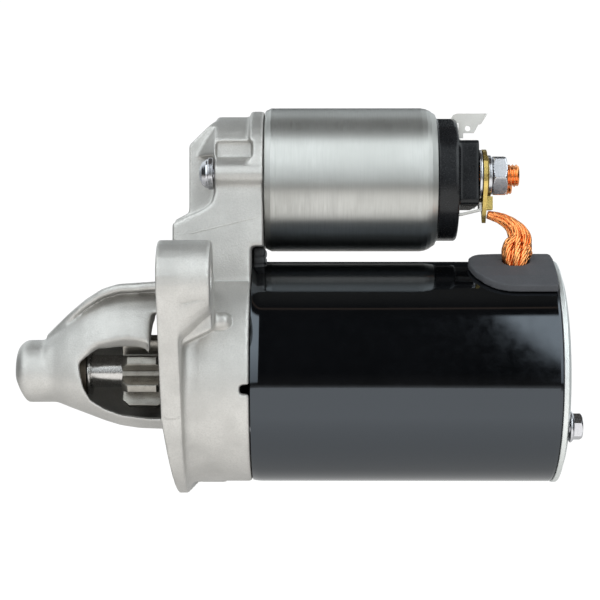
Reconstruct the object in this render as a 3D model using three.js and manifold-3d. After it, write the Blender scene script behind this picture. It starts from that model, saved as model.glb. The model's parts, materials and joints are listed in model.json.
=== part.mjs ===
// Car starter motor with a solenoid on top, in millimetres, +Z up.
// X runs along the motor axis, with the nose towards -X. The origin is on the motor axis, in the
// plane of the flange that bolts to the engine.

import * as THREE from "three";
import { mergeVertices } from "three/addons/utils/BufferGeometryUtils.js";
import Module from "manifold-3d";

const wasm = await Module();
wasm.setup();

// Fits and smoothness
const GAP = 0.3; // clearance between pieces that touch
const FINE = 40; // facets round a large cylinder
const ROUND = 24; // facets round a medium cylinder
const SMALL = 12; // facets round a pin or a screw

// Yoke and rear end
const YOKE_R = 39;
const YOKE_BORE = 36;
const YOKE_FRONT = 29.6;
const YOKE_REAR = 134.5;
const COVER_FACE = 137.6; // outer face of the rear cover
const BOLT_PLACE = { y: 28, z: 17.7 }; // through bolts, on opposite sides of the axis
const BOLT_R = 2.4;
const BOLT_TIP = 13.5;
const BOLT_ANGLE = Math.atan2(BOLT_PLACE.z, BOLT_PLACE.y);

// Drive end housing
const FLANGE_T = 7;
const FLANGE_R = 43.2;
const EAR = { y: 51, z: 33, r: 12, length: 17.5, hole: 5.25 };
const SKIRT_BORE = 35.5;
const WEB_T = 2.4; // wall between the nose and the inside of the skirt
const WALL_HALF = 22.4; // half width of the lever housing
const CORE_HALF = 13; // half width of its narrow front part
const SLOT_HALF = 8.5; // half width of the space that the lever swings in
const NOSE_TIP = -54.6;
const NOSE_BORE = 8.6; // holds the nose bush
const CAVITY_FRONT = -33.6;

// Solenoid, which lies parallel to the motor
const SOL_Z = 68.2;
const SOL_R = 25.45;
const SOL_FRONT = 33.8;
const SOL_REAR = 93.5;
const STUD = { y: 11, rise: 0.7, r: 4, tip: 122.7 };
const STUD_PLACES = [-1, 1].map((side) => [side * STUD.y, -side * STUD.rise]);
const SPADE = { y: -3.5, t: 0.8 };
const STRIP = { half: 3, t: 0.9 }; // joins the coil to the motor stud, under the terminal block
const SCREW = { y: 20.5, z: 0.8, head: 16.6 }; // z from the solenoid axis
const BLOCK_REAR = 108.3;

// Shaft, pinion and clutch
const SHAFT_R = 5.8;
const PINION = { teeth: 8, tip: 13.2, root: 7.9, front: -16.5, rear: -3.5, turn: -26.5 };
const SHELL_R = 20;
const SLEEVE_R = 9.6;
const GROOVE = { x: 31, half: 3.2, floor: 10.2, rim: 14.5 };

// Lever: a pivot between the solenoid axis and the motor axis
const PIVOT = { x: 25.4, z: 36 };
const LEVER_TOP = SOL_Z - PIVOT.z;
const LEVER_REST = Math.asin(5 / LEVER_TOP); // its lean when the starter is at rest
const PAD_R = 2.9;
const LEVER_HALF = 3; // half width of its upper arm

// Armature
const CORE = { r: 28.6, bore: 7.3, front: 50, rear: 92, slots: 16 };
const MAGNET = { inner: 29.4, outer: 35.6, front: 46, rear: 98, span: 66 };
const COMMUTATOR = { r: 16.5, front: 101, rear: 119, bars: 24 };
// Brushes and magnets share four directions, clear of the through bolts. An angle turns +Z.
const MAGNET_ANGLES = [0, 1, 2, 3].map((i) => BOLT_ANGLE - Math.PI / 4 + (i * Math.PI) / 2);
const BRUSH = { front: 104.5, rear: 114.5, half: 3.4, inner: 16.9, outer: 26.5 };

// Joins, cuts and overlaps of closed geometries

function solid(geometry) {
  const bare = geometry.clone();
  bare.deleteAttribute("normal");
  bare.deleteAttribute("uv");
  const merged = mergeVertices(bare, 1e-4);
  return new wasm.Manifold(
    new wasm.Mesh({
      numProp: 3,
      vertProperties: new Float32Array(merged.attributes.position.array),
      triVerts: new Uint32Array(merged.index.array),
    }),
  );
}

function surface(manifold) {
  const { vertProperties, triVerts } = manifold.getMesh();
  const geometry = new THREE.BufferGeometry();
  geometry.setAttribute("position", new THREE.BufferAttribute(vertProperties, 3));
  geometry.setIndex(new THREE.BufferAttribute(triVerts, 1));
  geometry.computeVertexNormals();
  return geometry;
}

const join = (...parts) => surface(parts.map(solid).reduce((a, b) => a.add(b)));
const cut = (base, ...tools) =>
  surface(tools.map(solid).reduce((a, b) => a.subtract(b), solid(base)));
const common = (a, b) => surface(solid(a).intersect(solid(b)));

// Basic shapes. Profiles of turned pieces are [x, radius] pairs, turned about the X axis.

function turned(profile, facets = ROUND) {
  const outline = profile.map(([x, r]) => new THREE.Vector2(r, x));
  if (THREE.ShapeUtils.area(outline) < 0) outline.reverse();
  if (profile[0][1] > 0) outline.push(outline[0].clone());
  return new THREE.LatheGeometry(outline, facets).rotateZ(-Math.PI / 2);
}

const rod = (x0, x1, r, facets) => turned([[x0, 0], [x0, r], [x1, r], [x1, 0]], facets);
const tube = (x0, x1, inner, outer, facets) =>
  turned([[x0, inner], [x0, outer], [x1, outer], [x1, inner]], facets);

function box(x0, x1, y0, y1, z0, z1) {
  const made = new THREE.BoxGeometry(x1 - x0, y1 - y0, z1 - z0);
  return made.translate((x0 + x1) / 2, (y0 + y1) / 2, (z0 + z1) / 2);
}

const X = new THREE.Vector3(1, 0, 0);
const Y = new THREE.Vector3(0, 1, 0);
const Z = new THREE.Vector3(0, 0, 1);
const FROM_SIDE = new THREE.Matrix4().makeBasis(X, Z, Y.clone().negate());
const FROM_END = new THREE.Matrix4().makeBasis(Y, Z, X);

// An outline of [x, z] points, thick from y0 to y1.
function sidePlate(points, y0, y1, bevel = {}) {
  const shape = new THREE.Shape(points.map(([x, z]) => new THREE.Vector2(x, z)));
  const made = new THREE.ExtrudeGeometry(shape, { depth: y1 - y0, bevelEnabled: false, ...bevel });
  return made.applyMatrix4(FROM_SIDE).translate(0, y1, 0);
}

// An outline of [y, z] points, thick from x0 to x1.
function endPlate(points, x0, x1) {
  const shape = new THREE.Shape(points.map(([y, z]) => new THREE.Vector2(y, z)));
  const made = new THREE.ExtrudeGeometry(shape, { depth: x1 - x0, bevelEnabled: false });
  return made.applyMatrix4(FROM_END).translate(x0, 0, 0);
}

function circle(y, z, r, count = FINE) {
  const angles = Array.from({ length: count }, (_, i) => (i / count) * 2 * Math.PI);
  return angles.map((a) => [y + r * Math.cos(a), z + r * Math.sin(a)]);
}

// The tight outline round a set of points.
function hull(points) {
  const sorted = [...points].sort((a, b) => a[0] - b[0] || a[1] - b[1]);
  const turn = (o, a, b) => (a[0] - o[0]) * (b[1] - o[1]) - (a[1] - o[1]) * (b[0] - o[0]);
  const half = (list) =>
    list.reduce((chain, p) => {
      while (chain.length > 1 && turn(chain.at(-2), chain.at(-1), p) <= 1e-6) chain.pop();
      return [...chain, p];
    }, []);
  return [...half(sorted).slice(0, -1), ...half(sorted.reverse()).slice(0, -1)];
}

// A closed skin over rings of points, each ring convex and with the same number of points.
function loft(rings) {
  const count = rings[0].length;
  const index = [];
  for (let r = 0; r + 1 < rings.length; r++) {
    for (let i = 0; i < count; i++) {
      const a = r * count + i;
      const b = r * count + ((i + 1) % count);
      index.push(a, b, b + count, a, b + count, a + count);
    }
  }
  const last = (rings.length - 1) * count;
  for (let i = 1; i + 1 < count; i++) {
    index.push(0, i + 1, i, last, last + i, last + i + 1);
  }
  return new THREE.BufferGeometry().setFromPoints(rings.flat()).setIndex(index);
}

class Helix extends THREE.Curve {
  constructor(r, x0, x1, turns) {
    super();
    Object.assign(this, { r, x0, x1, turns });
  }
  getPoint(t, target = new THREE.Vector3()) {
    const a = t * this.turns * 2 * Math.PI;
    const x = this.x0 + (this.x1 - this.x0) * t;
    return target.set(x, this.r * Math.cos(a), this.r * Math.sin(a));
  }
}

function spring(r, wire, x0, x1, turns) {
  const section = new THREE.Shape(circle(0, 0, wire, 4).map(([y, z]) => new THREE.Vector2(y, z)));
  const path = new Helix(r, x0 + wire, x1 - wire, turns);
  const steps = Math.round(turns * 9);
  return new THREE.ExtrudeGeometry(section, { extrudePath: path, steps, bevelEnabled: false });
}

function hexagon(x0, x1, flats, turn = 0) {
  return rod(x0, x1, flats / Math.sqrt(3), 6).rotateX(turn);
}

// Drive end housing: nose, flange with two ears, skirt and lever housing, cast in one piece.

function archRing(x, bottom, half, top) {
  const bend = (v, power) => Math.sign(v) * Math.abs(v) ** power;
  return Array.from({ length: FINE }, (_, i) => {
    const a = (i / FINE) * 2 * Math.PI;
    const power = Math.sin(a) > 0 ? 0.8 : 1;
    const height = Math.sin(a) > 0 ? top : bottom;
    return new THREE.Vector3(x, half * bend(Math.cos(a), power), height * bend(Math.sin(a), power));
  });
}

function noseShell() {
  const stations = [
    [-44, 10.9, 10.9, 11.4],
    [-40.7, 11, 11.8, 14.4],
    [-35.7, 13, 14, 18.8],
    [-29.3, 15.4, 16.4, 23.6],
    [-23.2, 17.7, 18.4, 27.2],
    [-17.5, 19.4, 19.8, 28.8],
    [-11, 20.4, 20.6, 29.2],
    [1, 20.8, 21, 29.6],
  ];
  return loft(stations.map((s) => archRing(...s)));
}

function noseTip() {
  return turned([
    [NOSE_TIP, 0],
    [NOSE_TIP, 6.4],
    [-54, 8.6],
    [-52.4, 10.4],
    [-50.8, 11.2],
    [-38, 11.1],
    [-38, 0],
  ]);
}

// The slanting cut under the front of the nose.
const noseChamfer = () =>
  sidePlate([[-60, -2], [NOSE_TIP, -2], [-51.2, -10.6], [-51.2, -20], [-60, -20]], -20, 20);

// The rib along the top edge of the nose: a plate that stands out over the shell on both sides and
// narrows towards the tip.
function noseRib() {
  const thick = 3;
  const edge = 0.8;
  const stations = [
    // x, top, half width
    [-44, 13, 4],
    [-40, 16.6, 6.4],
    [-35.7, 20.5, 8.8],
    [-29.3, 25.6, 11.8],
    [-23.2, 29.3, 14],
    [-17.5, 31, 15.2],
    [-11, 31.4, 16],
    [1, 32.2, 16.6],
  ];
  const ring = ([x, top, half]) => {
    const side = [[half, top - thick], [half, top - edge], [half - edge, top]];
    const other = side.map(([y, z]) => [-y, z]).reverse();
    return [...side, ...other].map(([y, z]) => new THREE.Vector3(x, y, z));
  };
  return loft(stations.map(ring));
}

function noseWindow() {
  const outline = [
    [-31, 3], [-24.6, 8.2], [-14, 8.8], [-8.4, 7.6], [-6.2, 3.4], [-5.4, 21], [0.1, 21],
    [0.1, -16.3], [-8, -16], [-16.4, -14.9], [-22, -12.9], [-27, -9.8], [-29.4, -5], [-30.4, 0],
  ];
  const flare = { bevelEnabled: true, bevelThickness: 5, bevelSize: 3.6, bevelSegments: 1 };
  const upperEdge = outline.slice(0, 5).concat([[-6.2, 0], [-30, 0]]);
  const flared = sidePlate(upperEdge, -45, -19.5, flare);
  return join(sidePlate(outline, -40, 0), common(flared, box(-34, -6.2, -45, 0, 3, 20)));
}

function noseCavity() {
  return turned([
    [CAVITY_FRONT, 0],
    [CAVITY_FRONT, 9.8],
    [-30.6, 14.3],
    [-20, 16.6],
    [-10, 17.3],
    [4, 17.3],
    [4, 0],
  ]);
}

// The face of the flange slants back at its bottom.
function flange() {
  const ears = [-1, 1].map((side) => circle(side * EAR.y, -side * EAR.z, EAR.r, ROUND));
  const plate = endPlate(hull([...circle(0, 0, FLANGE_R), ...ears.flat()]), 0, FLANGE_T);
  return cut(plate, sidePlate([[-1, -15], [0, -15], [3.2, -42], [3.5, -46], [-1, -46]], -44, 20));
}

// The fillet behind the flange, which also thickens the root of the skirt.
function flangeFillet() {
  const steps = [[5, 2.2], [7, 2.2], [7.9, 1], [9.4, 0.3], [11.5, 0]]; // x, height over the skirt
  return turned([[5, 0], ...steps.map(([x, rise]) => [x, YOKE_R + rise]), [11.5, 0]], FINE);
}

// Webs that tie the near ear to the flange and to the skirt. The lower one is deep at the flange
// and slants up to the end of the ear.
function earWebs() {
  const across = hull([...circle(-EAR.y, EAR.z, EAR.r - 2, ROUND), [-30, 22], [-22, 31]]);
  const stations = [
    // x, y, z, half width, half height
    [4, -48.8, 26.6, 9.2, 17.6],
    [7, -49.2, 28, 10, 16.2],
    [EAR.length - 0.5, -EAR.y, EAR.z - 0.3, EAR.r, EAR.r - 0.1],
  ];
  const ring = ([x, y, z, half, tall]) =>
    circle(0, 0, 1, ROUND).map(([u, v]) => new THREE.Vector3(x, y + half * u, z + tall * v));
  const deep = sidePlate([[5, 9.5], [EAR.length, 15.6], [EAR.length, 34], [5, 34]], -47, -34);
  return join(endPlate(across, 2, EAR.length - 3), deep, loft(stations.map(ring)));
}

// A small round lug on the skirt, under the near ear.
const skirtLug = () =>
  turned([[14, 0], [14, 3], [21.4, 3], [22.8, 1.8], [22.8, 0]], SMALL).translate(0, -35, 18.3);

const bothSides = (make) => [make(), make().rotateX(Math.PI)];
const atEars = (make) =>
  [-1, 1].map((side) => make().translate(0, side * EAR.y, -side * EAR.z));
const atBolts = (make) =>
  [-1, 1].map((side) => make().translate(0, side * BOLT_PLACE.y, side * BOLT_PLACE.z));
const atScrews = (make) =>
  [-1, 1].map((side) => make().translate(0, side * SCREW.y, SOL_Z + SCREW.z));

function leverHousing() {
  const arch = hull([...circle(0, SOL_Z, WALL_HALF), [-WALL_HALF, 10], [WALL_HALF, 10]]);
  const wide = [
    [2.2, 10], [2.2, 51.8], [8, 54.6], [13.2, 56.8], [15.7, 59], [SCREW.head, 62],
    [SCREW.head, 91], [YOKE_FRONT - GAP, 91], [YOKE_FRONT - GAP, 10],
  ];
  const narrow = [
    [2.4, 10], [2.4, 53.4], [7.4, 56], [7.4, 79.7], [13.7, 85.8], [16.4, 88.4], [19.4, 90.2],
    [YOKE_FRONT - GAP, 91], [YOKE_FRONT - GAP, 10],
  ];
  const dome = [[9, 0], [9, 13.5], [17, WALL_HALF], [18, WALL_HALF], [18, 0]];
  const shoulder = common(turned(dome, FINE).translate(0, 0, SOL_Z), box(5, 20, -30, 30, SOL_Z + 7, 95));
  const [plateFront, plateRear] = [YOKE_FRONT - 1, SOL_FRONT - GAP];
  const disc = rod(plateFront, plateRear, SOL_R - 1.1, FINE).translate(0, 0, SOL_Z);
  return [
    common(sidePlate(wide, -WALL_HALF - 1, WALL_HALF + 1), endPlate(arch, 0, 31)),
    common(sidePlate(narrow, -CORE_HALF, CORE_HALF), endPlate(arch, -1, 31)),
    common(sidePlate(narrow, -30, 30), shoulder),
    common(disc, box(20, 40, -30, 30, SOL_Z + 4, 100)),
    box(plateFront, plateRear, -WALL_HALF, WALL_HALF, 44, SOL_Z + 4.5),
    ...atScrews(() => rod(SCREW.head, plateRear, 4.6, SMALL)),
  ];
}

function leverSpace() {
  const pocket = box(17, YOKE_FRONT + 0.2, 17.5, 30, 74.4, 80.4);
  return [
    pocket,
    pocket.clone().translate(0, -47.5, 0),
    box(10.4, YOKE_FRONT + 1, -SLOT_HALF, SLOT_HALF, 12, SOL_Z + 12),
    box(YOKE_FRONT, SOL_FRONT, -LEVER_HALF - 0.8, LEVER_HALF + 0.8, 48, SOL_Z),
    rod(20, 40, 11.4, ROUND).translate(0, 0, SOL_Z),
    rod(-14, 14, 2.5 + GAP, SMALL).rotateZ(Math.PI / 2).translate(PIVOT.x, 0, PIVOT.z),
    ...atScrews(() => rod(0, 40, 2.5 + GAP, SMALL)),
  ];
}

function driveEndHousing() {
  const shell = join(
    flange(),
    rod(4, YOKE_FRONT - GAP, YOKE_R, FINE),
    flangeFillet(),
    skirtLug(),
    ...bothSides(earWebs),
    noseShell(),
    noseTip(),
    noseRib(),
    ...atEars(() => rod(0, EAR.length, EAR.r, ROUND)),
    ...leverHousing(),
  );
  const inside = [[WEB_T, 0], [WEB_T, 22], [5.8, SKIRT_BORE], [60, SKIRT_BORE], [60, 0]];
  const hollow = cut(shell, noseCavity(), turned(inside, FINE));
  return cut(
    join(hollow, ...atBolts(() => rod(2, YOKE_FRONT - GAP, 5.4, SMALL))),
    rod(-48, CAVITY_FRONT + 1, NOSE_BORE),
    noseWindow(),
    noseChamfer(),
    box(-9.5, -1, -1, 45, 3.4, 21.5),
    ...leverSpace(),
    ...atEars(() => rod(-5, 30, EAR.hole, SMALL)),
    ...atBolts(() => rod(BOLT_TIP - 1, 40, BOLT_R + GAP, SMALL)),
    box(26, YOKE_FRONT + 1, -45, -30, -6.1, -3.1),
  );
}

// Rubber seal that fills the gap under the solenoid, where the lever goes into the motor.
function leverSeal() {
  return box(YOKE_FRONT + GAP, 34, -12, 12, 29.6, 43.4);
}

function solenoidScrew() {
  const seat = SCREW.head;
  return turned([
    [seat - 5.2, 0], [seat - 5, 2.6], [seat - 3.6, 4.9], [seat - 2, 5.6], [seat - GAP, 5.6],
    [seat - GAP, 2.5], [SOL_FRONT - GAP, 2.5], [SOL_FRONT - GAP, 0],
  ], SMALL);
}

// Lever and its pin. The lever is drawn upright about its pivot and then leans back to its rest.

function shiftLever() {
  const fork = [-1, 1].flatMap((side) => {
    const [a, b] = [side * 15, side * 18.6].sort((p, q) => p - q);
    const [c, d] = [side * 10.5, side * 15.4].sort((p, q) => p - q);
    const pad = rod(c, d, PAD_R, SMALL).rotateZ(Math.PI / 2).translate(0, 0, -PIVOT.z);
    return [box(-2.4, 2.4, a, b, -PIVOT.z - 2, -9), pad];
  });
  const hub = rod(-7.6, 7.6, 4.2, SMALL).rotateZ(Math.PI / 2);
  const head = rod(-LEVER_HALF, LEVER_HALF, 3.2, SMALL).rotateZ(Math.PI / 2).translate(0, 0, LEVER_TOP);
  const made = join(
    box(-2.4, 2.4, -LEVER_HALF, LEVER_HALF, 2, LEVER_TOP),
    box(-2.4, 2.4, -18.6, 18.6, -13.5, -8.5),
    box(-2.4, 2.4, -7.6, 7.6, -10, 0),
    hub,
    head,
    ...fork,
  );
  const pinHole = rod(-20, 20, 2.5 + GAP, SMALL).rotateZ(Math.PI / 2);
  return cut(made, pinHole).rotateY(-LEVER_REST);
}

const leverPin = () => rod(-13.6, 13.6, 2.5, SMALL).rotateZ(Math.PI / 2);

// Yoke: a steel tube with a notch for the seal, and a hole under the grommet for the lead.

function yoke() {
  return cut(
    tube(YOKE_FRONT, YOKE_REAR, YOKE_BORE, YOKE_R, FINE),
    box(YOKE_FRONT - 1, 34 + GAP, -12 - GAP, 12 + GAP, 25, 45),
    leadBody(0.4),
  );
}

function magnet() {
  const start = -THREE.MathUtils.degToRad(MAGNET.span) / 2;
  const arc = (r) =>
    Array.from({ length: 9 }, (_, i) => {
      const a = start - (2 * start * i) / 8;
      return [r * Math.cos(a), r * Math.sin(a)];
    });
  return endPlate([...arc(MAGNET.outer), ...arc(MAGNET.inner).reverse()], MAGNET.front, MAGNET.rear);
}

function rearCover() {
  const dish = turned([
    [YOKE_REAR + GAP, 0], [YOKE_REAR + GAP, YOKE_R + 0.3], [136, YOKE_R + 0.3],
    [137.1, YOKE_R - 1], [COVER_FACE, YOKE_R - 3.4], [COVER_FACE, 0],
  ], FINE);
  const boss = rod(126, YOKE_REAR + 1, 11.5);
  const bushSeat = rod(120, 136.1, 8.3, ROUND);
  return cut(join(dish, boss), bushSeat, ...atBolts(() => rod(120, 150, BOLT_R + GAP, SMALL)));
}

const rearBush = () => tube(126.4, 135.8, 5.9, 8, ROUND);
const noseBush = () => tube(-47.2, -29.4, SHAFT_R + GAP, NOSE_BORE - GAP, ROUND);
const thrustWasher = () => tube(-29.1, -28.1, SHAFT_R + GAP, 8.6, ROUND);

function throughBolt() {
  return join(
    rod(BOLT_TIP, COVER_FACE + 1.4, BOLT_R, SMALL),
    rod(COVER_FACE + GAP, COVER_FACE + 1.3, 5.4, SMALL),
    hexagon(COVER_FACE + 1, COVER_FACE + 4.5, 8, 0.2),
  );
}

// Rubber grommet: a curved pad on the yoke, round in front, where the lead goes in.

const LEAD_TILT = THREE.MathUtils.degToRad(22); // its place round the yoke, from the top
const PAD = { front: 104.6, half: 15.2, r: YOKE_R + 2.9, flat: 119.8 };

function grommet() {
  const nose = Array.from({ length: 13 }, (_, i) => {
    const a = Math.PI / 2 + (i / 12) * Math.PI;
    return new THREE.Vector2(PAD.flat + (PAD.flat - PAD.front) * Math.cos(a), PAD.half * Math.sin(a));
  });
  const plan = new THREE.Shape([
    ...nose, new THREE.Vector2(YOKE_REAR, -PAD.half), new THREE.Vector2(YOKE_REAR, PAD.half),
  ]);
  const prism = new THREE.ExtrudeGeometry(plan, { depth: 60, bevelEnabled: false });
  prism.rotateX(LEAD_TILT);
  const pad = common(tube(PAD.front - 1, YOKE_REAR, YOKE_R + GAP, PAD.r, FINE), prism);
  return cut(pad, leadBody(0.4));
}

// Bare copper lead: flat strands that leave the lug, bend down and go in through the grommet.

const LEAD = [
  // x, y, z, half width, half thickness
  [111.9, -11, 55.2, 2.6, 1.1],
  [113.7, -11, 54.8, 2.8, 1.5],
  [117.2, -11.2, 53.6, 3, 2],
  [120.4, -11.8, 51.2, 3.3, 2.7],
  [122.7, -12.8, 47.2, 3.8, 4.2],
  [122, -14.1, 43.2, 4.4, 5.5],
  [121.2, -15.2, 40.2, 4.2, 4.8],
  [120.9, -15, 37, 3.5, 3.8],
  [120.8, -14.2, 34.2, 3, 3],
];

function leadBody(extra = 0) {
  const at = (i) => new THREE.Vector3(...LEAD[i].slice(0, 3));
  const rings = LEAD.map(([, , , half, thick], i) => {
    const along = at(Math.min(i + 1, LEAD.length - 1)).sub(at(Math.max(i - 1, 0))).normalize();
    const side = new THREE.Vector3(0, 1, 0).addScaledVector(along, -along.y).normalize();
    const up = new THREE.Vector3().crossVectors(along, side);
    return circle(0, 0, 1, 12).map(([u, v]) =>
      at(i).addScaledVector(side, u * (half + extra)).addScaledVector(up, v * (thick + extra)),
    );
  });
  return loft(rings);
}

// Brush gear

function brushPlate() {
  const holders = MAGNET_ANGLES.map((a) =>
    box(BRUSH.front - 2, BRUSH.rear + 4, -BRUSH.half - 2, BRUSH.half + 2, 19, 33.4).rotateX(a),
  );
  const pockets = MAGNET_ANGLES.map((a) =>
    box(BRUSH.front - GAP, BRUSH.rear + GAP, -BRUSH.half - GAP, BRUSH.half + GAP, 10, 31.8).rotateX(a),
  );
  const plate = cut(
    tube(BRUSH.rear + 1.4, BRUSH.rear + 4, 18.2, 34.8, ROUND),
    ...atBolts(() => rod(100, 130, BOLT_R + 0.9, SMALL)),
  );
  return cut(join(plate, ...holders), ...pockets);
}

function brush() {
  const block = box(BRUSH.front, BRUSH.rear, -BRUSH.half, BRUSH.half, BRUSH.inner - 1, BRUSH.outer);
  return cut(block, rod(BRUSH.front - 5, BRUSH.rear + 5, BRUSH.inner, FINE));
}

function brushSpring() {
  const middle = (BRUSH.front + BRUSH.rear) / 2;
  return spring(2.2, 0.4, BRUSH.outer + GAP, 31.5, 3).rotateY(-Math.PI / 2).translate(middle, 0, 0);
}

// Armature

function shaft() {
  return turned([
    [-46.4, 0], [-46.4, 5], [-45.8, SHAFT_R], [14.2, SHAFT_R], [14.6, 6.6], [44, 6.6], [44, 7],
    [120, 7], [120, 5.5], [135.2, 5.5], [135.2, 0],
  ], ROUND);
}

function slottedDisc(x0, x1, r, slots, depth, share) {
  const outline = Array.from({ length: slots }, (_, i) => {
    const pitch = (2 * Math.PI) / slots;
    const a = i * pitch;
    const b = a + pitch * (1 - share);
    const at = (angle, radius) => [radius * Math.cos(angle), radius * Math.sin(angle)];
    return [at(a, r), at((a + b) / 2, r), at(b, r), at(b, r - depth), at(a + pitch, r - depth)];
  });
  return endPlate(outline.flat(), x0, x1);
}

function armatureCore() {
  const { front, rear, r, bore, slots } = CORE;
  return cut(slottedDisc(front, rear, r, slots, 7, 0.22), rod(front - 5, rear + 5, bore, ROUND));
}

const endTurns = (x0, x1, lean) =>
  turned([[x0, 9], [x0, 24 - lean], [(x0 + x1) / 2, 26.4], [x1, 24 + lean], [x1, 9]], ROUND);

function commutator() {
  const { front, rear, r, bars } = COMMUTATOR;
  const riser = rod(front, front + 2.6, r + 2.4, 24);
  const made = join(slottedDisc(front, rear, r, bars, 0.9, 0.12), riser);
  return cut(made, rod(front - 5, rear + 5, 7 + GAP, ROUND));
}

// Pinion, one-way clutch and sliding collar

function pinion() {
  const { teeth, tip, root, front, rear } = PINION;
  const pitch = (2 * Math.PI) / teeth;
  const rising = [[-0.31, root], [-0.26, root + 1.6], [-0.125, tip]]; // share of a pitch, radius
  const falling = rising.map(([turn, r]) => [-turn, r]).reverse();
  const outline = Array.from({ length: teeth }, (_, i) =>
    [...rising, ...falling].map(([turn, r]) => {
      const a = (i + turn) * pitch;
      return [r * Math.cos(a), r * Math.sin(a)];
    }),
  ).flat();
  const blank = turned([
    [front, 0], [front, tip - 1.6], [front + 1.4, tip + 0.2], [rear - 0.6, tip + 0.2],
    [rear, tip - 0.8], [rear, 0],
  ], ROUND);
  const gear = common(endPlate(outline, front, rear), blank);
  gear.rotateX(-THREE.MathUtils.degToRad(PINION.turn));
  return cut(join(gear, rod(rear - 1, 13.6, 8.4, ROUND)), rod(-40, 40, SHAFT_R + GAP, ROUND));
}

function clutchShell() {
  return turned([
    [13.9, SHAFT_R + 1.1], [13.9, 17], [15, SHELL_R - 0.8], [16, SHELL_R], [23.6, SHELL_R],
    [24.6, SHELL_R - 1], [24.6, SLEEVE_R], [42, SLEEVE_R], [42, SHAFT_R + 1.1],
  ], ROUND);
}

function clutchCollar() {
  const { x, half, floor, rim } = GROOVE;
  const inner = SLEEVE_R + GAP;
  return turned([
    [x - half - 2.2, inner], [x - half - 2.2, rim], [x - half, rim], [x - half, floor], [x + half, floor],
    [x + half, rim], [x + half + 2.4, rim], [x + half + 2.4, inner],
  ], ROUND);
}

// Solenoid, drawn about its own axis

function solenoidCan() {
  return turned([
    [SOL_FRONT, 10.9], [SOL_FRONT, SOL_R - 1.4], [SOL_FRONT + 0.5, SOL_R - 0.4],
    [SOL_FRONT + 1.4, SOL_R], [SOL_REAR - 2.2, SOL_R], [SOL_REAR - 0.8, SOL_R - 0.6],
    [SOL_REAR, SOL_R - 2], [SOL_REAR + 0.4, 23.3], [SOL_REAR + 0.4, 22.9],
    [SOL_REAR - 1, 22.9], [SOL_REAR - 1, 23.3], [SOL_FRONT + 2.4, 23.3], [SOL_FRONT + 2.4, 10.9],
  ], FINE);
}

function plunger() {
  const body = turned([
    [17, 0], [17, 4.6], [24.6, 4.6], [24.6, 9.3], [58, 9.3], [58, 7.4], [46, 7.4], [46, 0],
  ], ROUND);
  const leverGap = box(17.4 + 2.6 - 3.6, 17.4 + 2.6 + 4, -3.4, 3.4, -8, 3.9);
  return cut(body, leverGap);
}

const plungerSleeve = () => tube(35.4, 70, 9.7, 10.5, ROUND);
const solenoidCoil = () => turned([[36.8, 11], [36.8, 22.8], [79, 22.8], [79, 11]], ROUND);
const returnSpring = () => spring(6, 0.6, 46 + GAP, 68.3, 5);

function polePiece() {
  const disc = [[79.4, 9.3], [79.4, 22.8], [85, 22.8], [85, 2.6]];
  return turned([[68.8, 2.6], [68.8, 9.3], ...disc], ROUND);
}

const contactRod = () => turned([[54, 0], [54, 2], [94.5, 2], [94.5, 0]], SMALL);
const contactDisc = () => tube(91.6, 93.4, 2.3, 16, ROUND);
const contactSpring = () => spring(3.4, 0.45, 93.7, 100.3, 3);

function terminalCap() {
  const cup = turned([
    [85.4, 17.6], [85.4, 22.5], [SOL_REAR + 0.8, 22.5], [SOL_REAR + 0.8, 21.7], [101, 21.7], [101.6, 21],
    [101.6, 0], [99.2, 0], [99.2, 17.6],
  ], FINE);
  const corner = 2.2;
  const ring = hull(
    [[-16, -7.8], [16, -7.8], [16, 10.6], [-16, 10.6]].flatMap(([y, z]) => circle(y, z, corner, 12)),
  );
  const block = endPlate(ring, 100, BLOCK_REAR);
  const studHoles = STUD_PLACES.map(([y, z]) => rod(90, 120, STUD.r + GAP, SMALL).translate(0, y, z));
  const springSeat = rod(90, 100.6, 4.4, SMALL);
  return cut(join(cup, block), ...studHoles, springSeat, spadeSlot(), stripSlot());
}

// A copper stud with its contact head inside the cap.
function stud() {
  return turned([
    [96.4, 0], [96.4, 6.4], [98.9, 6.4], [98.9, STUD.r], [STUD.tip - 0.9, STUD.r], [STUD.tip, STUD.r - 0.9],
    [STUD.tip, 0],
  ], SMALL);
}

const flatWasher = () => tube(BLOCK_REAR + GAP, BLOCK_REAR + 1.2, STUD.r + GAP, 9, ROUND);
const lockWasher = () => tube(111.6, 113, STUD.r + GAP, 7.1, ROUND);
const nut = (x0, turn) =>
  cut(hexagon(x0, x0 + 5, 13, turn), rod(x0 - 5, x0 + 9, STUD.r + GAP, SMALL));

// Brass lug on the motor stud: a round eye with a tail that points down and holds the lead.
function leadLug() {
  const eye = hull([...circle(0, 0, 9.2, 24), [0, -16.6], [-2, -14], [2, -14]]);
  const clasp = box(110.6, 113.4, -3.2, 3.2, -12, -7.4);
  const plate = endPlate(eye, BLOCK_REAR + 1.5, BLOCK_REAR + 2.9);
  return cut(join(plate, clasp), rod(100, 111.4, STUD.r + GAP, SMALL), rod(111.2, 116, 7.9, ROUND));
}

// Spade terminal: a flat blade along the top of the cap, on a foot that goes into the cap.
function spadeTerminal() {
  const blade = [
    [99.6, 20.4], [99.6, 21.6], [100.4, 22.8], [101.8, 23.3], [112.6, 23.3], [110.4, 19.6],
    [109.4, 19.4], [107.8, 16.4], [102.4, 16.4], [102.4, 20],
  ];
  const plate = sidePlate(blade, SPADE.y - SPADE.t / 2, SPADE.y + SPADE.t / 2);
  const foot = box(100, 104, SPADE.y - SPADE.t / 2, SPADE.y + SPADE.t / 2, 14.6, 17);
  const hole = rod(-5, 5, 1, SMALL).rotateZ(Math.PI / 2).translate(105.6, SPADE.y, 18);
  return cut(join(plate, foot), hole);
}

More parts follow.
